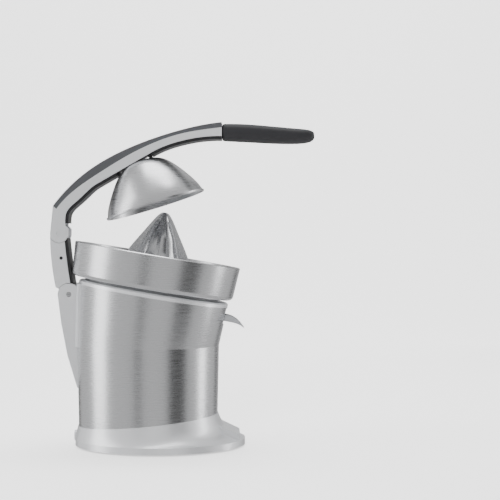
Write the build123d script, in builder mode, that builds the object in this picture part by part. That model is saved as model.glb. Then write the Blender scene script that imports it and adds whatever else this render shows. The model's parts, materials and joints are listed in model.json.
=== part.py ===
from build123d import *
import os
from math import cos, radians, sin

os.makedirs("parts", exist_ok=True)

# ---------------------------------------------------------------- driving sizes (mm)
# Frame: +X is the front of the juicer (spout and grip), +Z is up, Y is across.
AXIS_X = -39.3              # housing axis, so that the overall box is centred on X = 0

# Tilted bowl group: everything that turns or nests about the reamer axis
TILT = 9.6                  # lean of the reamer axis towards the front, degrees
RIM_X = 10.9                # bowl rim centre, ahead of the housing axis
RIM_Z = 215.0               # bowl rim centre, above the table
BOWL_R = 94.0               # collector ring radius at the rim
BOWL_DEPTH = 37.9           # collector ring height
BOWL_TAPER = 2.4            # how much narrower the ring is at its foot
SHEET = 1.2                 # pressed steel thickness
RIM_LIP = 3.0               # width of the ring's turned-in lip
BOWL_WALL = 2.0             # moulded juice bowl wall
NEST = 0.3                  # clearance between pieces that lift out
CHIMNEY_R = 12.5            # bowl's centre tube, outside
COLLAR_GAP = 3.3            # shadow gap between ring and housing

# Housing
SLEEVE_R_LOW = 77.8
SLEEVE_R_MID = 79.7
COLLAR_R = 84.8
COLLAR_X = 2.5               # the collar stands this far ahead of the reamer axis
SLEEVE_MID_Z = 113.0        # where the sleeve starts to lean to the bowl
SLEEVE_WALL = 1.5
COLLAR_BAND = 5.0           # visible height of the collar
COLLAR_PLATE = 3.0

# Foot
FOOT_TILT = 5.0             # the seam between sleeve and foot rises to the front
FOOT_SEAM_Z = 30.2          # seam height on the housing axis
FOOT_RX = 95.5
FOOT_RY = 88.0
FOOT_X = 13.6               # the foot's outline reaches forward
FOOT_LIP = 7.0              # upright edge at the table
FOOT_WALL = 3.0
PAD_H = 2.0                 # rubber pads stand this far below the foot
PAD_R = 8.0
COVER_T = 2.5

# Drive
SPINDLE_R = 4.0
RUN = 0.06                  # running clearance, radial
GEAR_TEETH = 56
PINION_TEETH = 12
MODULE = 1.0
GEAR_FACE = 6.0
GEAR_TOP = -57.0            # top face of the gear, along the reamer axis from the rim
PLATE_TOP = -68.0
PLATE_T = 3.0
MOTOR_R = 30.0
MOTOR_LEN = 62.0
MOTOR_WALL = 2.0
MOTOR_SHAFT_R = 2.5

# Reamer cone
CONE_TIP = 48.0             # above the rim plane
CONE_R = 34.5               # fin radius at the rim plane
CONE_WALL = 2.0
FIN_COUNT = 4
FIN_T = 3.2
RIBS_PER_GAP = 2
RIB_T = 1.5

# Arm: upright column on the lower knuckle, press arm on the upper pivot
ARM_W = 30.0                # outside width of column, arm and knuckles
CHEEK = 4.0                 # side wall of the column and arm channels
WEB = 2.4                   # back wall of the channels, thinner than the liner that closes them
BAND = 3.4                  # dark liner that closes each channel
BAND_INSET = 1.4            # liner set back from the cheek faces
TONGUE_W = 13.8             # width of the tongues between the knuckles
SIDE_PLAY = 0.3             # gap beside a tongue
KNUCKLE_PLAY = 0.4          # gap round a knuckle
PIVOT_LOW = (-88.1, 170.3)  # lower knuckle, from the housing axis
KNUCKLE_LOW_R = 12.4
EYE_LOW_R = 6.9             # column eye, clear of the housing behind it
PIVOT_TOP = (-98.9, 238.1)  # press pivot in the column
KNUCKLE_TOP_R = 10.1
PIN_R = 3.0
PRESS_ANGLE = 26.9          # press travel, down from rest

# Dome
DOME_CENTRE = (8.4, 270.0)  # rim centre at rest
DOME_TILT = PRESS_ANGLE - TILT
DOME_R = 56.5
DOME_H = 54.0
DOME_SHEET = 1.4

# Spout
SPOUT_W = 24.0
SPOUT_WALL = 1.6
SPOUT_PIN = (72.0, 146.5)
SPOUT_PIN_R = 1.5
SPOUT_LIP = (107.8, 132.5)

SCREW_R = 2.0
SCREW_HEAD_R = 3.8
SCREW_HEAD_H = 2.2

# ---------------------------------------------------------------- frames
t = radians(TILT)
RIM = (AXIS_X + RIM_X, 0, RIM_Z)
TOP = Plane(origin=RIM, x_dir=(cos(t), 0, -sin(t)), z_dir=(sin(t), 0, cos(t)))
CONE_AXIS = Axis(RIM, (sin(t), 0, cos(t)))
SIDE = Plane(origin=(AXIS_X, 0, 0), x_dir=(1, 0, 0), z_dir=(0, -1, 0))
HOUSING_AXIS = Axis((AXIS_X, 0, 0), (0, 0, 1))
d = radians(DOME_TILT)
DOME_SIDE = Plane(
    origin=(AXIS_X + DOME_CENTRE[0], 0, DOME_CENTRE[1]),
    x_dir=(cos(d), 0, sin(d)),
    z_dir=(0, -1, 0),
)
DOME_AXIS = Axis(DOME_SIDE.origin, (-sin(d), 0, cos(d)))
f = radians(FOOT_TILT)
SEAM = Plane(origin=(AXIS_X, 0, FOOT_SEAM_Z), x_dir=(cos(f), 0, sin(f)), z_dir=(-sin(f), 0, cos(f)))


def radial(angle):
    """A plane through the reamer axis: local x is outwards, local y is up the axis."""
    return Plane(TOP.location * Rotation(0, 0, angle) * Rotation(90, 0, 0))


def level(z, x=0.0):
    """A level plane at height z, x ahead of the housing axis."""
    return Plane(origin=(AXIS_X + x, 0, z), z_dir=(0, 0, 1))


def polar(centre, radius, angle):
    """The point at an angle on a circle in the side view."""
    a = radians(angle)
    return (centre[0] + radius * cos(a), centre[1] + radius * sin(a))


def rod(plane, radius, length, hole=0.0):
    """A round bar along the plane's normal, or a tube if it has a hole."""
    with BuildPart() as bar:
        with BuildSketch(plane):
            Circle(radius)
            if hole:
                Circle(hole, mode=Mode.SUBTRACT)
        extrude(amount=length)
    return bar


def cross_rod(centre, radius, length, hole=0.0):
    """A bar across the machine, centred on the middle plane."""
    plane = Plane(origin=(AXIS_X + centre[0], length / 2, centre[1]), z_dir=(0, -1, 0))
    return rod(plane, radius, length, hole)


pieces = {}

# ---------------------------------------------------------------- collector group
foot_r = BOWL_R - BOWL_TAPER
corner = 5.0
skirt_r = 76.0              # the juice bowl's foot ring, which stands on the collar
ring_hem = skirt_r + 2 * NEST
with BuildPart() as collector_ring:
    with BuildSketch(radial(0)):
        with BuildLine():
            l1 = Polyline((BOWL_R - RIM_LIP, 0), (BOWL_R - 0.8, 0), (BOWL_R, -0.8),
                          (foot_r, corner - BOWL_DEPTH))
            l2 = RadiusArc(l1 @ 1, (foot_r - corner, -BOWL_DEPTH), corner)
            l3 = Polyline(l2 @ 1, (ring_hem, -BOWL_DEPTH), (ring_hem, SHEET - BOWL_DEPTH),
                          (foot_r - corner, SHEET - BOWL_DEPTH))
            l4 = RadiusArc(l3 @ 1, (foot_r - SHEET, corner - BOWL_DEPTH), -(corner - SHEET))
            Polyline(l4 @ 1, (BOWL_R - SHEET, -SHEET), (BOWL_R - RIM_LIP, -SHEET), l1 @ 0)
        make_face()
    revolve(axis=CONE_AXIS)
pieces["collector_ring"] = collector_ring

collar_top = -(BOWL_DEPTH + COLLAR_GAP)
bowl_r = BOWL_R - BOWL_TAPER - SHEET - 2 * NEST      # juice bowl wall, outside
bowl_lip = BOWL_R - SHEET - 4 * NEST
bowl_top = -SHEET - 0.1
bowl_floor = -33.0
DRAIN_X = 64.0              # drain nozzle, ahead of the reamer axis
DRAIN_R = 6.0
with BuildPart() as juice_bowl:
    with BuildSketch(radial(0)):
        with BuildLine():
            Polyline(
                (bowl_lip, bowl_top), (bowl_lip, bowl_top - BOWL_WALL), (bowl_r - 0.4, -5.0),
                (bowl_r - 3.0, -28.0), (bowl_r - 7.0, -33.5), (skirt_r, bowl_floor - BOWL_WALL),
                (skirt_r, collar_top), (skirt_r - BOWL_WALL, collar_top),
                (skirt_r - BOWL_WALL, bowl_floor - BOWL_WALL),
                (CHIMNEY_R - BOWL_WALL, bowl_floor - BOWL_WALL), (CHIMNEY_R - BOWL_WALL, -15.0),
                (CHIMNEY_R, -15.0), (CHIMNEY_R, bowl_floor + 1.0), (skirt_r - 4, bowl_floor),
                (bowl_r - 8.0, -31.0), (bowl_r - 3.0 - BOWL_WALL, -27.0),
                (bowl_r - BOWL_WALL, bowl_top),
                close=True,
            )
        make_face()
    revolve(axis=CONE_AXIS)
    with BuildSketch(TOP.offset(bowl_floor - BOWL_WALL)):
        with Locations((DRAIN_X, 0)):
            Circle(DRAIN_R + BOWL_WALL)
    extrude(amount=-(COLLAR_GAP + 9.0))
    with BuildSketch(TOP.offset(bowl_floor + 4)):
        with Locations((DRAIN_X, 0)):
            Circle(DRAIN_R)
    extrude(amount=-40, mode=Mode.SUBTRACT)
pieces["juice_bowl"] = juice_bowl

# Filter basket: a pressed steel dish with three rings of radial slots in its floor
basket_r = bowl_r - BOWL_WALL - 3.0
basket_floor = -24.0
basket_inner = CHIMNEY_R + 5.5
basket_t = 0.9
basket_lip = BOWL_R - RIM_LIP - NEST
SLOT_COUNT = 40
SLOT_W = 1.7
SLOT_L = 13.0
with BuildPart() as filter_basket:
    with BuildSketch(radial(0)):
        with BuildLine():
            Polyline(
                (basket_lip, bowl_top), (basket_lip, bowl_top + basket_t),
                (basket_r, bowl_top + basket_t), (basket_r - 3, -20.0),
                (basket_r - 7, basket_floor), (basket_inner, basket_floor - 1.5),
                (basket_inner, -17.0), (basket_inner - basket_t, -17.0),
                (basket_inner - basket_t, basket_floor - 1.5 - basket_t),
                (basket_r - 6.6, basket_floor - basket_t), (basket_r - 2.1, -20.3),
                (basket_r + basket_t, bowl_top),
                close=True,
            )
        make_face()
    revolve(axis=CONE_AXIS)
    with BuildSketch(TOP.offset(basket_floor + 1)):
        for ring, count in ((68.0, SLOT_COUNT), (51.0, SLOT_COUNT), (33.5, SLOT_COUNT // 2)):
            with PolarLocations(ring, count):
                SlotOverall(SLOT_L, SLOT_W)
    extrude(amount=-6, mode=Mode.SUBTRACT)
pieces["filter_basket"] = filter_basket

# ---------------------------------------------------------------- reamer and its drive
cone_foot = -13.0
boss_r = 8.0
body = [(26.5, -4.0), (15.5, 22.0), (7.0, 38.0)]
with BuildPart() as reamer_cone:
    with BuildSketch(radial(0)):
        with BuildLine():
            skirt = Polyline((0, cone_foot + 30), (boss_r, cone_foot + 30), (boss_r, cone_foot),
                             (boss_r + 3, cone_foot), (boss_r + 3, -2), (24, cone_foot + 4),
                             (36, cone_foot), (37.5, cone_foot + 0.8), (37.5, cone_foot + 2.5),
                             (30, -9))
            flank = Spline(skirt @ 1, *body, (0, CONE_TIP - 1.5), tangents=[(-0.3, 1), (-1, 0)])
            Line(flank @ 1, skirt @ 0)
        make_face()
    revolve(axis=CONE_AXIS)
    for i in range(FIN_COUNT):
        with BuildSketch(radial(i * 360 / FIN_COUNT)):
            with BuildLine():
                edge = Polyline((12, 0), (28, -10), (36.5, cone_foot + 2.5), (CONE_R, 0))
                crest = Spline(edge @ 1, (20.8, 23), (9.5, 41), (2.0, CONE_TIP),
                               tangents=[(-0.5, 1), (-1, 0.4)])
                Polyline(crest @ 1, (2.0, 30), (9.5, 20), (12, 0))
            make_face()
        extrude(amount=FIN_T / 2, both=True)
    for i in range(FIN_COUNT):
        for k in range(RIBS_PER_GAP):
            turn = (i + (k + 1) / (RIBS_PER_GAP + 1)) * 360 / FIN_COUNT
            with BuildSketch(radial(turn)):
                with BuildLine():
                    low = Polyline((12, 0), (25, -9.5), (30.5, -8.5), (28.4, -4))
                    rise = Spline(low @ 1, (17.4, 22), (8.2, 39), tangents=[(-0.4, 1), (-0.6, 1)])
                    Polyline(rise @ 1, (4.0, 36), (9.5, 20), (12, 0))
                make_face()
            extrude(amount=RIB_T / 2, both=True)
pieces["reamer_cone"] = reamer_cone

spindle_top = 14.0
spindle_end = PLATE_TOP - PLATE_T - 1.0
pieces["cone_carrier"] = rod(TOP.offset(cone_foot + 1), boss_r - 0.05, 28.0, SPINDLE_R)
pieces["drive_spindle"] = rod(TOP.offset(spindle_end), SPINDLE_R, spindle_top - spindle_end)


def toothed(teeth, bore, plane, face, phase):
    """A spur wheel whose teeth taper from base to tip, with a little backlash."""
    pitch_r = MODULE * teeth / 2
    root = pitch_r - 1.2 * MODULE
    tip = pitch_r + 0.9 * MODULE
    half = 0.25 * 3.14159 * MODULE - 0.12
    with BuildPart() as wheel:
        with BuildSketch(plane):
            Circle(root)
            with PolarLocations(0, teeth, start_angle=phase):
                with BuildLine():
                    Polyline((root - 0.4, -half * 1.5), (pitch_r, -half), (tip, -half * 0.45),
                             (tip, half * 0.45), (pitch_r, half), (root - 0.4, half * 1.5),
                             close=True)
                make_face()
            Circle(bore, mode=Mode.SUBTRACT)
        extrude(amount=face)
    return wheel


motor_x = MODULE * (GEAR_TEETH + PINION_TEETH) / 2   # gear centre distance, towards the front
MOTOR = Plane(TOP.location * Location((motor_x, 0, 0)))
pinion_phase = 180.0 + 180.0 / PINION_TEETH
pieces["drive_gear"] = toothed(GEAR_TEETH, SPINDLE_R, TOP.offset(GEAR_TOP - GEAR_FACE), GEAR_FACE, 0)
pieces["motor_pinion"] = toothed(
    PINION_TEETH, MOTOR_SHAFT_R, MOTOR.offset(GEAR_TOP - GEAR_FACE - 1), GEAR_FACE + 2, pinion_phase)

bearing_r = 7.0
bearing_h = 9.0
collar_under = collar_top - COLLAR_PLATE
COLLAR = Plane(TOP.location * Location((COLLAR_X, 0, 0)))
with BuildPart() as housing_collar:
    with BuildSketch(COLLAR.offset(collar_top - COLLAR_BAND)):
        Circle(COLLAR_R)
    extrude(amount=COLLAR_BAND)
    chamfer(housing_collar.edges().group_by(Axis(TOP.origin, TOP.z_dir))[-1], length=1.6)
    with BuildSketch(COLLAR.offset(collar_top - COLLAR_BAND)):
        Circle(COLLAR_R - 3.0)
    extrude(amount=COLLAR_BAND - COLLAR_PLATE, mode=Mode.SUBTRACT)
    with BuildSketch(TOP.offset(collar_under - bearing_h)):
        Circle(bearing_r + 4)
    extrude(amount=bearing_h)
    with BuildSketch(TOP.offset(collar_under - bearing_h)):
        Circle(bearing_r)
    extrude(amount=bearing_h + COLLAR_PLATE, mode=Mode.SUBTRACT)
    with BuildSketch(TOP.offset(collar_top + 1)):
        with Locations((DRAIN_X, 0)):
            Circle(DRAIN_R + BOWL_WALL + 1.0)
    extrude(amount=-8, mode=Mode.SUBTRACT)
pieces["housing_collar"] = housing_collar

pieces["spindle_seal"] = rod(TOP.offset(collar_top), bearing_r + 2.5, 4.0, SPINDLE_R + RUN)
pieces["upper_bush"] = rod(
    TOP.offset(collar_under - bearing_h), bearing_r, bearing_h + COLLAR_PLATE, SPINDLE_R + RUN)

PILLARS = ((-20, 30), (-20, -30), (60, 27), (60, -27))
with BuildPart() as motor_plate:
    with BuildSketch(TOP.offset(PLATE_TOP - PLATE_T)):
        with Locations((20, 0)):
            RectangleRounded(94, 70, 10)
        Circle(bearing_r, mode=Mode.SUBTRACT)
        with Locations((motor_x, 0)):
            Circle(MOTOR_SHAFT_R + 3, mode=Mode.SUBTRACT)
        with Locations(*PILLARS):
            Circle(SCREW_R, mode=Mode.SUBTRACT)
    extrude(amount=PLATE_T)
pieces["motor_plate"] = motor_plate
pieces["lower_bush"] = rod(TOP.offset(PLATE_TOP - PLATE_T), bearing_r, PLATE_T, SPINDLE_R + RUN)

pillar_h = collar_under - PLATE_TOP
with BuildPart() as plate_pillars:
    with BuildSketch(TOP.offset(PLATE_TOP)):
        with Locations(*PILLARS):
            Circle(4.0)
        with Locations(*PILLARS):
            Circle(SCREW_R, mode=Mode.SUBTRACT)
    extrude(amount=pillar_h)
pieces["plate_pillars"] = plate_pillars

with BuildPart() as plate_screws:
    with BuildSketch(TOP.offset(PLATE_TOP - PLATE_T)):
        with Locations(*PILLARS):
            Circle(SCREW_HEAD_R)
    extrude(amount=-SCREW_HEAD_H)
    with BuildSketch(TOP.offset(PLATE_TOP - PLATE_T)):
        with Locations(*PILLARS):
            Circle(SCREW_R)
    extrude(amount=14)
pieces["plate_screws"] = plate_screws

# Motor: can, end cap, and the rotor on its shaft
can_top = PLATE_TOP - PLATE_T
with BuildPart() as motor_can:
    with BuildSketch(MOTOR.offset(can_top)):
        Circle(MOTOR_R)
    extrude(amount=-MOTOR_LEN)
    with BuildSketch(MOTOR.offset(can_top - MOTOR_WALL)):
        Circle(MOTOR_R - MOTOR_WALL)
    extrude(amount=-MOTOR_LEN, mode=Mode.SUBTRACT)
    with BuildSketch(MOTOR.offset(can_top)):
        Circle(MOTOR_SHAFT_R + RUN)
    extrude(amount=-MOTOR_WALL, mode=Mode.SUBTRACT)
pieces["motor_can"] = motor_can
pieces["motor_end_cap"] = rod(
    MOTOR.offset(can_top - MOTOR_LEN - MOTOR_WALL), MOTOR_R, MOTOR_WALL, MOTOR_SHAFT_R + RUN)
with BuildPart() as motor_rotor:
    with BuildSketch(MOTOR.offset(can_top - MOTOR_LEN - MOTOR_WALL - 3)):
        Circle(MOTOR_SHAFT_R)
    extrude(amount=GEAR_TOP + 2 - (can_top - MOTOR_LEN - MOTOR_WALL - 3))
    with BuildSketch(MOTOR.offset(can_top - MOTOR_LEN + 8)):
        Circle(MOTOR_R - MOTOR_WALL - 6)
    extrude(amount=MOTOR_LEN - 18)
pieces["motor_rotor"] = motor_rotor

# Start switch under the spindle
with BuildPart() as start_switch:
    with BuildSketch(TOP.offset(spindle_end - 13)):
        with Locations((-6, 0)):
            RectangleRounded(18, 12, 1.5)
    extrude(amount=12)
    with BuildSketch(TOP.offset(spindle_end - 13)):
        with Locations((-13, 0)):
            Rectangle(4, 12)
    extrude(amount=14)
pieces["start_switch"] = start_switch

# ---------------------------------------------------------------- housing sleeve


def housing_shape(inset):
    """The housing's solid shape, drawn in from its outside by the inset."""
    with BuildPart() as shape:
        with BuildSketch(level(FOOT_SEAM_Z - 12)):
            Circle(SLEEVE_R_LOW - inset)
        with BuildSketch(level(SLEEVE_MID_Z)):
            Circle(SLEEVE_R_MID - inset)
        loft()
        with BuildSketch(level(SLEEVE_MID_Z)):
            Circle(SLEEVE_R_MID - inset)
        with BuildSketch(COLLAR.offset(collar_top - COLLAR_BAND)):
            Circle(COLLAR_R - inset)
        loft()
    return shape


housing_outer = housing_shape(0)
housing_inner = housing_shape(SLEEVE_WALL)
SPOUT_SLOT = (136.0, 154.0)          # bottom and top of the spout's opening
with BuildPart() as housing_sleeve:
    add(housing_outer)
    add(housing_inner, mode=Mode.SUBTRACT)
    split(bisect_by=SEAM, keep=Keep.TOP)
    with BuildSketch(SIDE):
        with Locations((SLEEVE_R_MID, sum(SPOUT_SLOT) / 2)):
            Rectangle(40, SPOUT_SLOT[1] - SPOUT_SLOT[0])
    extrude(amount=SPOUT_W / 2 + 1.5, both=True, mode=Mode.SUBTRACT)
pieces["housing_sleeve"] = housing_sleeve

# ---------------------------------------------------------------- foot
seam_r = SLEEVE_R_LOW + 0.9


def foot_shape(inset, bottom):
    """The flared foot, drawn in by the inset, from the table lip to above the seam."""
    with BuildPart() as shape:
        with BuildSketch(level(bottom, FOOT_X)):
            Ellipse(FOOT_RX - inset, FOOT_RY - inset)
        extrude(amount=PAD_H + FOOT_LIP - bottom)
        with BuildSketch(level(PAD_H + FOOT_LIP, FOOT_X)):
            Ellipse(FOOT_RX - inset, FOOT_RY - inset)
        with BuildSketch(level(PAD_H + FOOT_LIP + 7, 0.45 * FOOT_X)):
            Ellipse(0.47 * FOOT_RX + 0.53 * seam_r - inset, 0.4 * FOOT_RY + 0.6 * seam_r - inset)
        with BuildSketch(Plane(SEAM.location * Location((0, 0, 0)))):
            Ellipse(seam_r / cos(f) - inset, seam_r - inset)
        loft()
    return shape


gland_z = PAD_H + 9.0
gland_out = FOOT_RX - FOOT_X + 1.2   # the gland's outer face, behind the housing axis
GLAND_R = 5.9
foot_outer = foot_shape(0, PAD_H)
foot_inner = foot_shape(FOOT_WALL, PAD_H - 1)
boss_x = 0.6 * FOOT_RX
boss_y = 0.57 * FOOT_RY
BOSS_SPOTS = [(FOOT_X * 0.5 + sx * boss_x, sy * boss_y) for sx in (-1, 1) for sy in (-1, 1)]
boss_top = PAD_H + COVER_T + 14.0
with BuildPart() as base_foot:
    add(foot_outer)
    add(foot_inner, mode=Mode.SUBTRACT)
    with BuildSketch(level(PAD_H + COVER_T, 0)):
        with Locations(*BOSS_SPOTS):
            Circle(5)
    extrude(amount=boss_top - PAD_H - COVER_T)
    with BuildSketch(level(PAD_H + COVER_T, 0)):
        with Locations(*BOSS_SPOTS):
            Circle(SCREW_R)
    extrude(amount=10, mode=Mode.SUBTRACT)
    with BuildSketch(level(boss_top - 2.0, 0)):
        Circle(SLEEVE_R_LOW - 1)
        Circle(40, mode=Mode.SUBTRACT)
        with Locations((0, 0)):
            Rectangle(60, 200, mode=Mode.SUBTRACT)
    extrude(amount=2.0)
    with BuildSketch(Plane(origin=(AXIS_X - gland_out - 5, 0, gland_z), z_dir=(1, 0, 0))):
        Circle(GLAND_R + 0.05)
    extrude(amount=30, mode=Mode.SUBTRACT)
pieces["base_foot"] = base_foot

with BuildPart() as base_cover:
    with BuildSketch(level(PAD_H, FOOT_X)):
        Ellipse(FOOT_RX - FOOT_WALL - NEST, FOOT_RY - FOOT_WALL - NEST)
    extrude(amount=COVER_T)
    with BuildSketch(level(PAD_H, 0)):
        with Locations(*BOSS_SPOTS):
            Circle(SCREW_R)
    extrude(amount=COVER_T, mode=Mode.SUBTRACT)
    with BuildSketch(level(PAD_H, 0)):
        for row in range(-3, 4):
            with Locations((6, row * 7)):
                SlotOverall(46, 2.5)
    extrude(amount=COVER_T, mode=Mode.SUBTRACT)
pieces["base_cover"] = base_cover

with BuildPart() as base_screws:
    with BuildSketch(level(PAD_H, 0)):
        with Locations(*BOSS_SPOTS):
            Circle(SCREW_R)
    extrude(amount=10)
    with BuildSketch(level(PAD_H, 0)):
        with Locations(*BOSS_SPOTS):
            Circle(SCREW_HEAD_R)
    extrude(amount=-1.2)
pieces["base_screws"] = base_screws

PAD_SPOTS = [(FOOT_X + sx * 0.7 * FOOT_RX, sy * 0.34 * FOOT_RY) for sx in (-1, 1) for sy in (-1, 1)]
with BuildPart() as rubber_pads:
    with BuildSketch(level(0, 0)):
        with Locations(*PAD_SPOTS):
            Circle(PAD_R)
    extrude(amount=PAD_H)
pieces["rubber_pads"] = rubber_pads

# Glass rest: the sloped ledge on the front of the foot, under the spout
with BuildPart() as glass_rest:
    with BuildSketch(SIDE):
        with BuildLine():
            Polyline((72, 6), (72, 29), (77.5, 27.0), (102.5, 15.2), (103.5, 6), close=True)
        make_face()
    extrude(amount=27, both=True)
    add(foot_outer, mode=Mode.SUBTRACT)
    add(housing_outer, mode=Mode.SUBTRACT)
pieces["glass_rest"] = glass_rest

with BuildPart() as cord_gland:
    with BuildSketch(Plane(origin=(AXIS_X - gland_out, 0, gland_z), z_dir=(1, 0, 0))):
        Circle(GLAND_R)
        Circle(3.4, mode=Mode.SUBTRACT)
    extrude(amount=14)
pieces["cord_gland"] = cord_gland

# Control board on the cover
board_z = PAD_H + COVER_T + 5.0
with BuildPart() as control_board:
    with BuildSketch(level(board_z, -12)):
        Rectangle(40, 54)
    extrude(amount=1.6)
    with BuildSketch(level(board_z, -12)):
        with GridLocations(32, 46, 2, 2):
            Circle(2.5)
    extrude(amount=-5.0)
    with BuildSketch(level(board_z + 1.6, -12)):
        with Locations((-8, 10)):
            Rectangle(18, 14)
        with Locations((10, -10)):
            Circle(6)
    extrude(amount=11)
pieces["control_board"] = control_board

# ---------------------------------------------------------------- column


def outline_face(lines):
    """A face in the side view from lines that close on themselves."""
    with BuildSketch(SIDE) as sketch:
        with BuildLine():
            for line in lines:
                add(line)
        make_face()
    return sketch


low_play = KNUCKLE_LOW_R + KNUCKLE_PLAY
top_play = KNUCKLE_TOP_R + KNUCKLE_PLAY
column_back = ThreePointArc((-102.8, 178.5), (-107.9, 213.0), polar(PIVOT_TOP, top_play, 196))
column_low = ThreePointArc(polar(PIVOT_LOW, low_play, 152), polar(PIVOT_LOW, low_play, 110),
                           polar(PIVOT_LOW, low_play, 66))
column_front = Spline(polar(PIVOT_LOW, low_play, 66), (-86.3, 204.2), polar(PIVOT_TOP, top_play, -28))
column_seat = ThreePointArc(polar(PIVOT_TOP, top_play, -28), polar(PIVOT_TOP, top_play, -90),
                            polar(PIVOT_TOP, top_play, -164))
column_face = outline_face([
    column_back, Line(column_back @ 0, column_low @ 0), column_low, column_front, column_seat])
with BuildSketch(SIDE) as column_band:
    trace(column_front, 2 * BAND)
    add(column_face, mode=Mode.INTERSECT)
with BuildSketch(SIDE) as column_sweep:
    offset(column_face.sketch_local, amount=KNUCKLE_PLAY)
    with Locations(PIVOT_LOW):
        Circle(KNUCKLE_LOW_R, mode=Mode.SUBTRACT)
with BuildSketch(SIDE) as column_core:
    offset(column_face.sketch_local, amount=-WEB)

# ---------------------------------------------------------------- rear bracket and lower knuckle
FIN_FOOT = (-78.6, 66.0)             # the bracket's fin runs out here
SADDLE_T = 2.6                       # the saddle hugs the sleeve
saddle_half = 31.0
with BuildPart() as saddle:
    add(housing_shape(-SADDLE_T))
    with BuildSketch(level(112, -60)):
        Rectangle(60, 2 * saddle_half, align=(Align.MAX, Align.CENTER))
    extrude(amount=80, mode=Mode.INTERSECT)
with BuildPart() as rear_bracket:
    with BuildSketch(SIDE):
        with Locations(PIVOT_LOW):
            Circle(KNUCKLE_LOW_R)
        with BuildLine():
            back = polar(PIVOT_LOW, KNUCKLE_LOW_R, 186)
            Polyline(back, (-96.5, 138.0), (-89.5, 102.0), FIN_FOOT, (-60, 66), (-60, 176),
                     polar(PIVOT_LOW, KNUCKLE_LOW_R, 30), PIVOT_LOW, close=True)
        make_face()
    extrude(amount=ARM_W / 2, both=True)
    add(saddle)
    with BuildSketch(SIDE):
        add(column_sweep)
        with Locations((PIVOT_LOW[0] - 6, PIVOT_LOW[1] + 22)):
            Rectangle(16, 20)
    extrude(amount=ARM_W / 2 + SIDE_PLAY, both=True, mode=Mode.SUBTRACT)
    with BuildSketch(SIDE):
        with Locations(PIVOT_LOW):
            Circle(KNUCKLE_LOW_R + 0.8)
        with Locations((PIVOT_LOW[0], PIVOT_LOW[1] + 13)):
            Rectangle(2 * KNUCKLE_LOW_R + 1.6, 26)
    extrude(amount=TONGUE_W / 2 + SIDE_PLAY, both=True, mode=Mode.SUBTRACT)
    with BuildSketch(SIDE):
        with Locations(PIVOT_LOW):
            Circle(PIN_R)
    extrude(amount=ARM_W, both=True, mode=Mode.SUBTRACT)
    add(housing_outer, mode=Mode.SUBTRACT)
    with BuildSketch(COLLAR.offset(collar_top - COLLAR_BAND)):
        Circle(COLLAR_R)
    extrude(amount=60, mode=Mode.SUBTRACT)
pieces["rear_bracket"] = rear_bracket

pieces["lower_pin"] = cross_rod(PIVOT_LOW, PIN_R, ARM_W - 2)

tongue_half = TONGUE_W / 2
with BuildPart() as arm_column:
    with BuildSketch(SIDE):
        add(column_face)
        add(column_band, mode=Mode.SUBTRACT)
    extrude(amount=ARM_W / 2, both=True)
    with BuildSketch(SIDE):
        add(column_core)
    extrude(amount=ARM_W / 2 - CHEEK, both=True, mode=Mode.SUBTRACT)
    for centre, eye_r, toward in ((PIVOT_LOW, EYE_LOW_R, 1), (PIVOT_TOP, KNUCKLE_TOP_R - 1.6, -1)):
        with BuildSketch(SIDE):
            with Locations(centre):
                Circle(eye_r)
            with Locations((centre[0] - 4.5, centre[1] + toward * 11)):
                Rectangle(7, 18)
        extrude(amount=tongue_half, both=True)
        with BuildSketch(SIDE):
            with Locations(centre):
                Circle(PIN_R + RUN)
        extrude(amount=ARM_W, both=True, mode=Mode.SUBTRACT)
    DOT = (-96.6, 211.0)
    with BuildSketch(SIDE):
        with Locations(DOT):
            Circle(1.9)
    extrude(amount=ARM_W, both=True, mode=Mode.SUBTRACT)
pieces["arm_column"] = arm_column

with BuildPart() as column_liner:
    with BuildSketch(SIDE):
        add(column_band)
    extrude(amount=ARM_W / 2 - BAND_INSET, both=True)
pieces["column_liner"] = column_liner
pieces["column_rivet"] = cross_rod(DOT, 1.9, ARM_W - 0.6)
pieces["press_pin"] = cross_rod(PIVOT_TOP, PIN_R, ARM_W - 2 * 1.5)

# ---------------------------------------------------------------- press arm
GRIP_X = 83.0                        # the arm casting ends and the grip begins
straight_low = (-54.8, 291.2)
straight_high = (6.2, 326.4)
knuckle_back = polar(PIVOT_TOP, KNUCKLE_TOP_R, 180)
knuckle_front = polar(PIVOT_TOP, KNUCKLE_TOP_R, 0)
elbow = (-105.9, 269.5)
arm_back = Line(knuckle_back, elbow)
arm_top = Spline(elbow, (-67.2, 308.2), (-18.6, 335.3), (51.4, 358.0), (GRIP_X, 363.2),
                 tangents=[(0.75, 1), (1, 0.1)])
arm_end = Line(arm_top @ 1, (GRIP_X, 344.2))
under_front = Spline((GRIP_X, 344.2), (42.4, 339.8), straight_high, tangents=[(-1, 0.02), (-0.87, -0.5)])
under_mid = Line(straight_high, straight_low)
under_bend = Spline(straight_low, (-75.1, 273.6), (-86.9, 262.0), (-88.8, 250.0),
                    tangents=[(-0.87, -0.5), (0, -1)])
under_back = Line(under_bend @ 1, knuckle_front)
knuckle_arc = ThreePointArc(knuckle_front, polar(PIVOT_TOP, KNUCKLE_TOP_R, 270), knuckle_back)
arm_face = outline_face([
    arm_back, arm_top, arm_end, under_front, under_mid, under_bend, under_back, knuckle_arc])

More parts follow.
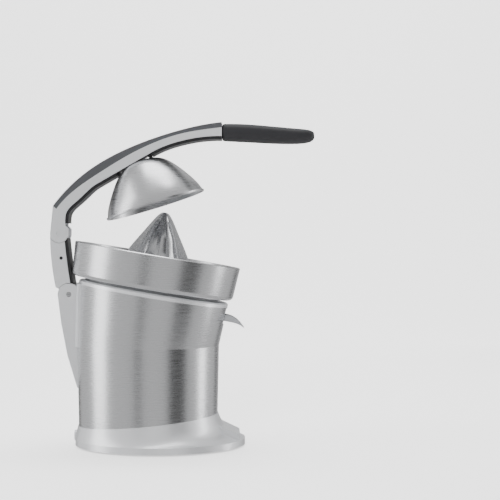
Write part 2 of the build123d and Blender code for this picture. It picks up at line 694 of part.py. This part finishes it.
strip_low = Spline((-101.9, 266.0), (-58.2, 303.6), (-13.0, 330.7), (32.2, 348.8), (GRIP_X, 357.4),
                   tangents=[(0.7, 1), (1, 0.12)])
with BuildSketch(SIDE) as strip_face:
    with BuildLine():
        add(arm_top)
        add(strip_low)
        Line(arm_top @ 0, strip_low @ 0)
        Line(arm_top @ 1, strip_low @ 1)
    make_face()
with BuildSketch(SIDE) as arm_band:
    trace([under_front, under_mid, under_bend, under_back], 2 * BAND)
    add(arm_face, mode=Mode.INTERSECT)
    with Locations(PIVOT_TOP):
        Circle(top_play + 1, mode=Mode.SUBTRACT)
with BuildSketch(SIDE) as arm_shell:
    add(arm_face)
    add(strip_face, mode=Mode.SUBTRACT)
with BuildSketch(SIDE) as arm_core:
    with BuildLine():
        Polyline((80, 346.2), (42, 341.6), (5, 328.2), (-56, 292.6), (-76.8, 274.8), (-88.8, 262.6),
                 (-90.4, 252), (-105, 252), (-102.6, 264), (-56.6, 301.6), (-12, 328.0),
                 (33, 346.0), (80, 354.4), close=True)
    make_face()

span = (straight_high[0] - straight_low[0], straight_high[1] - straight_low[1])
run = (span[0] ** 2 + span[1] ** 2) ** 0.5
along = (span[0] / run, span[1] / run)
down = (along[1], -along[0])


def under_arm(distance, depth):
    """A point in the side view, along the arm's straight underside and below it."""
    return (straight_low[0] + along[0] * distance + down[0] * depth,
            straight_low[1] + along[1] * distance + down[1] * depth)


HOLD_FROM = 25.0                     # the holder's ends, along the straight underside
HOLD_TO = 68.5
HOLDER_T = 4.0                       # holder plate, inside the arm's channel
BOLT_AT = 46.0                       # dome bolt, along the straight underside
BOLT_R = 3.0


def across_arm(distance, depth):
    """A plane at a point of the underside, facing down out of the arm."""
    x, z = under_arm(distance, depth)
    return Plane(origin=(AXIS_X + x, 0, z), x_dir=(0, 1, 0), z_dir=(down[0], 0, down[1]))


def bar(start, end, top, bottom):
    """The corners of a bar that lies along the arm's underside."""
    return (under_arm(start, top), under_arm(end, top), under_arm(end, bottom), under_arm(start, bottom))


dome_flank = [(30.5, 43.2), (47.8, 20.0)]


def dome_shape(inset):
    """The dome's solid shape, drawn in by the inset."""
    with BuildPart() as shape:
        with BuildSketch(DOME_SIDE):
            with BuildLine():
                flank = Spline((DOME_R - inset, 0), (dome_flank[1][0] - inset, dome_flank[1][1]),
                               (dome_flank[0][0] - 0.7 * inset, dome_flank[0][1] - 0.7 * inset),
                               (0, DOME_H - inset), tangents=[(-0.2, 1), (-1, 0)])
                Polyline(flank @ 1, (0, 0), flank @ 0)
            make_face()
        revolve(axis=DOME_AXIS)
    return shape


dome_outer = dome_shape(0)
dome_inner = dome_shape(DOME_SHEET)

with BuildPart() as arm_frame:
    with BuildSketch(SIDE):
        add(arm_shell)
        add(arm_band, mode=Mode.SUBTRACT)
    extrude(amount=ARM_W / 2, both=True)
    with BuildSketch(SIDE):
        add(arm_core)
    extrude(amount=ARM_W / 2 - CHEEK, both=True, mode=Mode.SUBTRACT)
    with BuildSketch(SIDE):
        with Locations(PIVOT_TOP):
            Circle(KNUCKLE_TOP_R)
    extrude(amount=ARM_W / 2, both=True)
    with BuildSketch(SIDE):
        with Locations(PIVOT_TOP):
            Circle(KNUCKLE_TOP_R - 0.8)
        with Locations((PIVOT_TOP[0] - 1, PIVOT_TOP[1] - 8)):
            Rectangle(30, 17)
        with Locations((PIVOT_TOP[0] + 6, PIVOT_TOP[1] + 2)):
            Rectangle(12, 20)
    extrude(amount=tongue_half + SIDE_PLAY, both=True, mode=Mode.SUBTRACT)
    with BuildSketch(SIDE):
        with Locations(PIVOT_TOP):
            Circle(PIN_R)
    extrude(amount=ARM_W, both=True, mode=Mode.SUBTRACT)
    add(dome_outer, mode=Mode.SUBTRACT)
pieces["arm_frame"] = arm_frame

with BuildPart() as arm_top_strip:
    with BuildSketch(SIDE):
        add(strip_face)
    extrude(amount=ARM_W / 2, both=True)
pieces["arm_top_strip"] = arm_top_strip

with BuildPart() as arm_liner:
    with BuildSketch(SIDE):
        add(arm_band)
    extrude(amount=ARM_W / 2 - BAND_INSET, both=True)
    split(bisect_by=Plane(origin=(AXIS_X, 0, PIVOT_TOP[1] + 12), z_dir=(0, 0, 1)), keep=Keep.TOP)
    with BuildSketch(SIDE):
        with BuildLine():
            Polyline(*bar(HOLD_FROM - 0.5, HOLD_TO + 0.5, -BAND - 1, 2), close=True)
        make_face()
    extrude(amount=ARM_W, both=True, mode=Mode.SUBTRACT)
pieces["arm_liner"] = arm_liner

# Grip: a soft oval bar on the arm's end
GRIP_END = 187.5
with BuildPart() as grip:
    for x, z, h, w in ((GRIP_X, 353.7, 19.0, ARM_W), (112, 352.6, 20.0, 32), (145, 349.2, 18.6, 31),
                       (172, 347.6, 17.0, 31), (GRIP_END, 349.0, 9.0, 20)):
        with BuildSketch(Plane(origin=(AXIS_X + x, 0, z), x_dir=(0, 1, 0), z_dir=(1, 0, 0))):
            RectangleRounded(w, h, 0.42 * h)
    loft()
pieces["grip"] = grip

# ---------------------------------------------------------------- dome and its holder

with BuildPart() as press_dome:
    add(dome_outer)
    add(dome_inner, mode=Mode.SUBTRACT)
    with BuildSketch(DOME_SIDE):
        with BuildLine():
            Polyline((DOME_R - 0.3, 0), (DOME_R - DOME_SHEET, 0), (DOME_R - DOME_SHEET - 0.6, 2.4),
                     (DOME_R + 0.8, 2.4), (DOME_R + 0.8, 0.6), close=True)
        make_face()
    revolve(axis=DOME_AXIS)
    with BuildSketch(across_arm(BOLT_AT, -BAND - 4)):
        Circle(BOLT_R)
    extrude(amount=20, mode=Mode.SUBTRACT)
pieces["press_dome"] = press_dome

with BuildPart() as dome_holder:
    with BuildSketch(SIDE):
        with BuildLine():
            Polyline(*bar(HOLD_FROM, HOLD_TO, -BAND - HOLDER_T, -BAND), close=True)
        make_face()
    extrude(amount=ARM_W / 2 - CHEEK, both=True)
    for start, end, depth in ((HOLD_FROM, HOLD_FROM + 3, 3.0), (HOLD_TO - 4, HOLD_TO, 5.0)):
        with BuildSketch(SIDE):
            with BuildLine():
                Polyline(*bar(start, end, -BAND, depth), close=True)
            make_face()
        extrude(amount=7, both=True)
    with BuildSketch(across_arm(BOLT_AT, -BAND)):
        Circle(9)
    extrude(amount=4)
    add(dome_outer, mode=Mode.SUBTRACT)
    with BuildSketch(across_arm(BOLT_AT, -BAND - HOLDER_T)):
        Circle(BOLT_R)
    extrude(amount=20, mode=Mode.SUBTRACT)
pieces["dome_holder"] = dome_holder

with BuildPart() as dome_bolt:
    with BuildSketch(across_arm(BOLT_AT, -BAND - HOLDER_T + 0.5)):
        Circle(BOLT_R)
    extrude(amount=HOLDER_T + 7.0)
    with BuildSketch(across_arm(BOLT_AT, 2.6)):
        Circle(7.0)
    extrude(amount=3.0)
    fillet(dome_bolt.edges().sort_by(Axis(DOME_SIDE.origin, (down[0], 0, down[1])))[-1], 1.5)
pieces["dome_bolt"] = dome_bolt

# ---------------------------------------------------------------- spout


def spout_trough(outline_only=False):
    """The spout's side outline, from under the drain to the lip."""
    with BuildSketch(SIDE) as sketch:
        with BuildLine():
            floor = Polyline((60, 146.0), (SPOUT_LIP[0] - 21, 140.2))
            under = Spline(floor @ 1, (96.5, 138.2), SPOUT_LIP, tangents=[(1, -0.2), (0.9, -0.9)])
            crest = Spline(under @ 1, (98.5, 143.0), (87.0, 147.6), tangents=[(-0.6, 0.9), (-1, 0.15)])
            Polyline(crest @ 1, (60, 150.5), floor @ 0)
        make_face()
    return sketch


trough = spout_trough()
with BuildSketch(SIDE) as trough_hollow:
    with Locations((0, SPOUT_WALL)):
        add(trough.sketch_local)
    with Locations((70, 160)):
        Rectangle(50, 20)
with BuildPart() as spout:
    with BuildSketch(SIDE):
        add(trough)
    extrude(amount=SPOUT_W / 2, both=True)
    with BuildSketch(SIDE):
        add(trough)
        with Locations((0, SPOUT_WALL)):
            add(trough.sketch_local, mode=Mode.INTERSECT)
    extrude(amount=SPOUT_W / 2 - SPOUT_WALL, both=True, mode=Mode.SUBTRACT)
    with BuildSketch(SIDE):
        with Locations(SPOUT_PIN):
            Circle(3.4)
    extrude(amount=SPOUT_W / 2, both=True)
    with BuildSketch(SIDE):
        with Locations(SPOUT_PIN):
            Circle(SPOUT_PIN_R + RUN)
    extrude(amount=SPOUT_W, both=True, mode=Mode.SUBTRACT)
pieces["spout"] = spout
pieces["spout_pin"] = cross_rod(SPOUT_PIN, SPOUT_PIN_R, SPOUT_W + 5)

with BuildPart() as spout_hanger:
    for side in (-1, 1):
        face = Plane(origin=(AXIS_X, side * (SPOUT_W / 2 + 0.4), 0), x_dir=(1, 0, 0), z_dir=(0, -1, 0))
        with BuildSketch(face):
            with Locations((SPOUT_PIN[0], SPOUT_PIN[1] + 10)):
                Rectangle(9, 28)
            with Locations(SPOUT_PIN):
                Circle(SPOUT_PIN_R, mode=Mode.SUBTRACT)
        extrude(amount=-side * 2.1)
    with BuildSketch(COLLAR.offset(collar_under)):
        Circle(COLLAR_R)
    extrude(amount=60, mode=Mode.SUBTRACT)
pieces["spout_hanger"] = spout_hanger

# ---------------------------------------------------------------- write the parts
for name, piece in pieces.items():
    piece.part.label = name
    export_step(piece.part, f"parts/{name}.step")
box = Compound(children=[piece.part for piece in pieces.values()]).bounding_box()
print(len(pieces), "pieces", "box", box.min, box.max, "centre", box.center())
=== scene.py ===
import json
import math

import bmesh
import bpy
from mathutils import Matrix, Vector


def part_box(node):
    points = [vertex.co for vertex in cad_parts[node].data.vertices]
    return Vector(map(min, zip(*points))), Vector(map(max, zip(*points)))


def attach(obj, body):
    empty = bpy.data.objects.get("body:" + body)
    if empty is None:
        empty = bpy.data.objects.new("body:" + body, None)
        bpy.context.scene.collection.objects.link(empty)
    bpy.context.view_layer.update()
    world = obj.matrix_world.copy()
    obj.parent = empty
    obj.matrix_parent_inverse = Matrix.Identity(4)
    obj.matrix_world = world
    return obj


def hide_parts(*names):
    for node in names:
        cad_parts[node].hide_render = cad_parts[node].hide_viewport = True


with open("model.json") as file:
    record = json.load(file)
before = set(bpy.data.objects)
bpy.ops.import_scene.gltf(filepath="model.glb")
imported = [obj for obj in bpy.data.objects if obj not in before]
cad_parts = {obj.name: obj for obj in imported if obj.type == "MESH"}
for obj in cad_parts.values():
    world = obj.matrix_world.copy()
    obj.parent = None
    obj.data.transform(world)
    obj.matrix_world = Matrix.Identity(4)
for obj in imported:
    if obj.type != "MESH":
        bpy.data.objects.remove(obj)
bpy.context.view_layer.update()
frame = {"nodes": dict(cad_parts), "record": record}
nodes = frame["nodes"]
record = frame["record"]
node_body = {n: b for b, ns in record["behaviour"]["bodies"].items() for n in ns}


# ---------------------------------------------------------------- materials
def new_material(name):
    """(material, node tree, shader)"""
    mat = bpy.data.materials.new(name)
    mat.use_nodes = True
    tree = mat.node_tree
    shader = tree.nodes["Principled BSDF"]
    return mat, tree, shader


def noise(tree, scale, stretch=(1, 1, 1), detail=4.0):
    """Noise in the object's own coordinates, stretched along an axis."""
    coords = tree.nodes.new("ShaderNodeTexCoord")
    mapping = tree.nodes.new("ShaderNodeMapping")
    mapping.inputs["Scale"].default_value = stretch
    tex = tree.nodes.new("ShaderNodeTexNoise")
    tex.inputs["Scale"].default_value = scale
    tex.inputs["Detail"].default_value = detail
    tree.links.new(coords.outputs["Object"], mapping.inputs["Vector"])
    tree.links.new(mapping.outputs["Vector"], tex.inputs["Vector"])
    return tex.outputs["Fac"]


def spread(tree, fac, lo, hi):
    """The noise mapped to a range."""
    span = tree.nodes.new("ShaderNodeMapRange")
    span.inputs["From Min"].default_value = 0.3
    span.inputs["From Max"].default_value = 0.7
    span.inputs["To Min"].default_value = lo
    span.inputs["To Max"].default_value = hi
    tree.links.new(fac, span.inputs["Value"])
    return span.outputs["Result"]


def tint(tree, shader, fac, dark, light):
    """Base colour between two near shades."""
    mix = tree.nodes.new("ShaderNodeMix")
    mix.data_type = "RGBA"
    mix.inputs["A"].default_value = (*dark, 1)
    mix.inputs["B"].default_value = (*light, 1)
    tree.links.new(fac, mix.inputs["Factor"])
    tree.links.new(mix.outputs["Result"], shader.inputs["Base Color"])


def bump(tree, shader, fac, strength, distance=0.0002):
    """A shallow relief."""
    node = tree.nodes.new("ShaderNodeBump")
    node.inputs["Strength"].default_value = strength
    node.inputs["Distance"].default_value = distance
    tree.links.new(fac, node.inputs["Height"])
    tree.links.new(node.outputs["Normal"], shader.inputs["Normal"])


def varied(tree, shader, fac, shade, rough, grain, swing, relief):
    """Colour, roughness and relief that all follow one noise."""
    dark = [c * (1 - grain) for c in shade]
    light = [min(1, c * (1 + grain)) for c in shade]
    tint(tree, shader, fac, dark, light)
    tree.links.new(spread(tree, fac, rough - swing, rough + swing), shader.inputs["Roughness"])
    bump(tree, shader, fac, relief)


def metal(name, shade, rough, scale=60, stretch=(1, 1, 1), grain=0.05, relief=0.03, aniso=0.0,
          metallic=1.0):
    """A brushed or satin metal."""
    mat, tree, shader = new_material(name)
    fac = noise(tree, scale, stretch)
    varied(tree, shader, fac, shade, rough, grain, 0.05, relief)
    shader.inputs["Metallic"].default_value = metallic
    shader.inputs["Anisotropic"].default_value = aniso
    return mat


def plain(name, shade, rough, scale=400, relief=0.05, grain=0.06):
    """A plastic or rubber."""
    mat, tree, shader = new_material(name)
    fac = noise(tree, scale)
    varied(tree, shader, fac, shade, rough, grain, 0.04, relief)
    return mat


around = (1, 1, 60)       # brushed round the machine: fine level lines
look = {
    "steel_shell": metal("steel_shell", (0.72, 0.725, 0.74), 0.27, 60, around, 0.04, 0.008, 0.3),
    "satin_metal": metal("satin_metal", (0.86, 0.87, 0.89), 0.34, 300, grain=0.01, relief=0.004,
                         metallic=0.80),
    "strip_grey": metal("strip_grey", (0.22, 0.225, 0.24), 0.40, 300, grain=0.03, relief=0.02),
    "dark_plastic": plain("dark_plastic", (0.008, 0.008, 0.009), 0.45),
    "grey_plastic": plain("grey_plastic", (0.22, 0.225, 0.235), 0.35),
    "white_plastic": plain("white_plastic", (0.80, 0.80, 0.78), 0.40),
    "soft_rubber": plain("soft_rubber", (0.012, 0.012, 0.014), 0.60, 700, 0.12),
    "cone_metal": metal("cone_metal", (0.66, 0.665, 0.68), 0.27, 200, grain=0.02, relief=0.001),
    "board_green": plain("board_green", (0.03, 0.16, 0.06), 0.40),
    "bronze": metal("bronze", (0.60, 0.40, 0.18), 0.35),
    "motor_steel": metal("motor_steel", (0.35, 0.36, 0.38), 0.40),
}
dome_steel = metal("dome_steel", (0.72, 0.725, 0.74), 0.30, 50, (1, 1, 30), 0.02, 0.002, 0.3)
special = {"press_dome": dome_steel, "cord_gland": look["satin_metal"],
           "press_pin": look["satin_metal"]}
slot_of = {s["node"]: s["material_slot"] for s in record["subparts"]}
for name, obj in nodes.items():
    mat = special.get(name, look[slot_of[name]])
    obj.data.materials.clear()
    obj.data.materials.append(mat)


def soften(name, width=0.0006, angle=35):
    """Small rounded edges on a CAD node, as a modifier only."""
    mod = nodes[name].modifiers.new("edges", "BEVEL")
    mod.width = width
    mod.segments = 3
    mod.limit_method = "ANGLE"
    mod.angle_limit = math.radians(angle)


for name in ("rear_bracket", "arm_frame", "arm_column", "glass_rest", "arm_top_strip"):
    soften(name)


# ---------------------------------------------------------------- grip
def finished(name, bm, slot, *replaced, subdiv=2):
    """A mesh object from a bmesh, on the body of the node it stands for."""
    bmesh.ops.recalc_face_normals(bm, faces=bm.faces)
    mesh = bpy.data.meshes.new(name)
    bm.to_mesh(mesh)
    bm.free()
    for poly in mesh.polygons:
        poly.use_smooth = True
    obj = bpy.data.objects.new(name, mesh)
    bpy.context.scene.collection.objects.link(obj)
    if subdiv:
        mod = obj.modifiers.new("smooth", "SUBSURF")
        mod.levels = subdiv
        mod.render_levels = subdiv
    mesh.materials.append(look[slot])
    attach(obj, node_body[replaced[0]])
    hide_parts(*replaced)
    return obj


g_low, g_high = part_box("grip")
g_len = g_high[0] - g_low[0]
g_mid = (g_low[2] + g_high[2]) / 2
# distance along the grip (0-1), centre above the box's middle (mm), half height, half width (mm)
stations = [(0.000, 1.4, 9.4, 14.8), (0.020, 1.4, 10.0, 15.2), (0.28, 0.6, 10.4, 15.9),
            (0.55, -1.6, 9.9, 15.6), (0.80, -3.0, 8.9, 15.4), (0.93, -2.9, 7.8, 14.0),
            (0.985, -2.6, 5.4, 10.5), (1.000, -2.5, 2.6, 6.0)]
AROUND = 20
bm = bmesh.new()
rings = []
for u, dz, hz, hy in stations:
    ring = []
    for i in range(AROUND):
        a = 2 * math.pi * i / AROUND
        c, s = math.cos(a), math.sin(a)
        y = math.copysign(abs(c) ** 0.75, c) * hy / 1000
        z = math.copysign(abs(s) ** 0.75, s) * hz / 1000
        ring.append(bm.verts.new((g_low[0] + u * g_len, y, g_mid + dz / 1000 + z)))
    rings.append(ring)
for a, b in zip(rings, rings[1:]):
    for i in range(AROUND):
        j = (i + 1) % AROUND
        bm.faces.new((a[i], a[j], b[j], b[i]))
bm.faces.new(rings[0])
bm.faces.new(rings[-1])
finished("grip_skin", bm, "soft_rubber", "grip")

# ---------------------------------------------------------------- floor, light and camera
floor_mesh = bpy.data.meshes.new("floor")
FLOOR_FRONT, BEND_FROM, BEND_R, SWEEP_TOP, HALF_WIDTH = -4.0, 1.6, 1.2, 5.0, 7.0
sweep = [(FLOOR_FRONT, 0.0), (BEND_FROM, 0.0)]
for k in range(1, 13):
    a = math.pi / 24 * k
    sweep.append((BEND_FROM + BEND_R * math.sin(a), BEND_R - BEND_R * math.cos(a)))
sweep.append((BEND_FROM + BEND_R, SWEEP_TOP))
corners = [(x, y, z) for y, z in sweep for x in (-HALF_WIDTH, HALF_WIDTH)]
strips = [(2 * k, 2 * k + 1, 2 * k + 3, 2 * k + 2) for k in range(len(sweep) - 1)]
floor_mesh.from_pydata(corners, [], strips)
for poly in floor_mesh.polygons:
    poly.use_smooth = True
floor = bpy.data.objects.new("floor", floor_mesh)
bpy.context.scene.collection.objects.link(floor)
floor_mat, floor_tree, floor_shader = new_material("floor")
tint(floor_tree, floor_shader, noise(floor_tree, 3), (0.96, 0.96, 0.96), (0.98, 0.98, 0.98))
floor_shader.inputs["Roughness"].default_value = 0.7
floor_shader.inputs["Specular IOR Level"].default_value = 0.15
floor_mesh.materials.append(floor_mat)
floor_shader.inputs["Emission Color"].default_value = (1, 1, 1, 1)
floor_shader.inputs["Emission Strength"].default_value = 0.9
floor.visible_glossy = False


def lamp(name, pos, target, size, power, size_y):
    """A soft rectangular lamp."""
    light = bpy.data.lights.new(name, "AREA")
    light.shape = "RECTANGLE"
    light.size = size
    light.size_y = size_y
    light.energy = power
    obj = bpy.data.objects.new(name, light)
    obj.location = pos
    obj.rotation_euler = (Vector(target) - Vector(pos)).to_track_quat("-Z", "Y").to_euler()
    bpy.context.scene.collection.objects.link(obj)
    return obj


centre = (0, 0, 0.18)
lamp("left", (-1.60, -0.28, 0.55), centre, 0.75, 12, 1.8)
lamp("right", (1.60, 0.28, 0.55), centre, 0.40, 8, 1.8)
lamp("top", (0.0, 0.1, 1.9), centre, 1.2, 16, 1.2)
front = lamp("front", (-0.3, -2.4, 1.0), centre, 0.8, 55, 0.8)
backdrop = lamp("backdrop", (0.3, 0.9, 2.6), (0.3, 2.6, 0.4), 3.0, 60, 1.5)
for unseen in (front, backdrop):
    unseen.visible_glossy = False


def card(name, pos, target, width, height, shade):
    """A dark panel out of the picture, for the metal to reflect."""
    mesh = bpy.data.meshes.new(name)
    w, h = width / 2, height / 2
    mesh.from_pydata([(-w, -h, 0), (w, -h, 0), (w, h, 0), (-w, h, 0)], [], [(0, 1, 2, 3)])
    obj = bpy.data.objects.new(name, mesh)
    obj.location = pos
    obj.rotation_euler = (Vector(target) - Vector(pos)).to_track_quat("-Z", "Y").to_euler()
    bpy.context.scene.collection.objects.link(obj)
    mat, tree, shader = new_material(name)
    tint(tree, shader, noise(tree, 4), [shade] * 3, [shade * 1.1] * 3)
    shader.inputs["Roughness"].default_value = 0.9
    mesh.materials.append(mat)
    obj.visible_shadow = False
    obj.visible_camera = False
    return obj


card("dark_right", (1.15, -0.96, 0.4), centre, 0.90, 1.8, 0.02)
card("dark_back_right", (0.86, 1.35, 0.4), centre, 0.36, 1.8, 0.02)
card("dark_back_left", (-0.86, 1.35, 0.4), centre, 0.36, 1.8, 0.02)
card("grey_front", (-0.42, -1.75, 0.4), centre, 0.40, 1.6, 0.10)

world = bpy.data.worlds.new("studio")
world.use_nodes = True
world.node_tree.nodes["Background"].inputs["Color"].default_value = (1, 1, 1, 1)
world.node_tree.nodes["Background"].inputs["Strength"].default_value = 0.62
bpy.context.scene.world = world

camera_data = bpy.data.cameras.new("camera")
camera_data.lens = 92.7
camera_data.sensor_width = 36
camera = bpy.data.objects.new("camera", camera_data)
camera.location = (0.0754, -1.455, 0.220)
camera.rotation_euler = (math.radians(90), 0, 0)
bpy.context.scene.collection.objects.link(camera)
bpy.context.scene.camera = camera
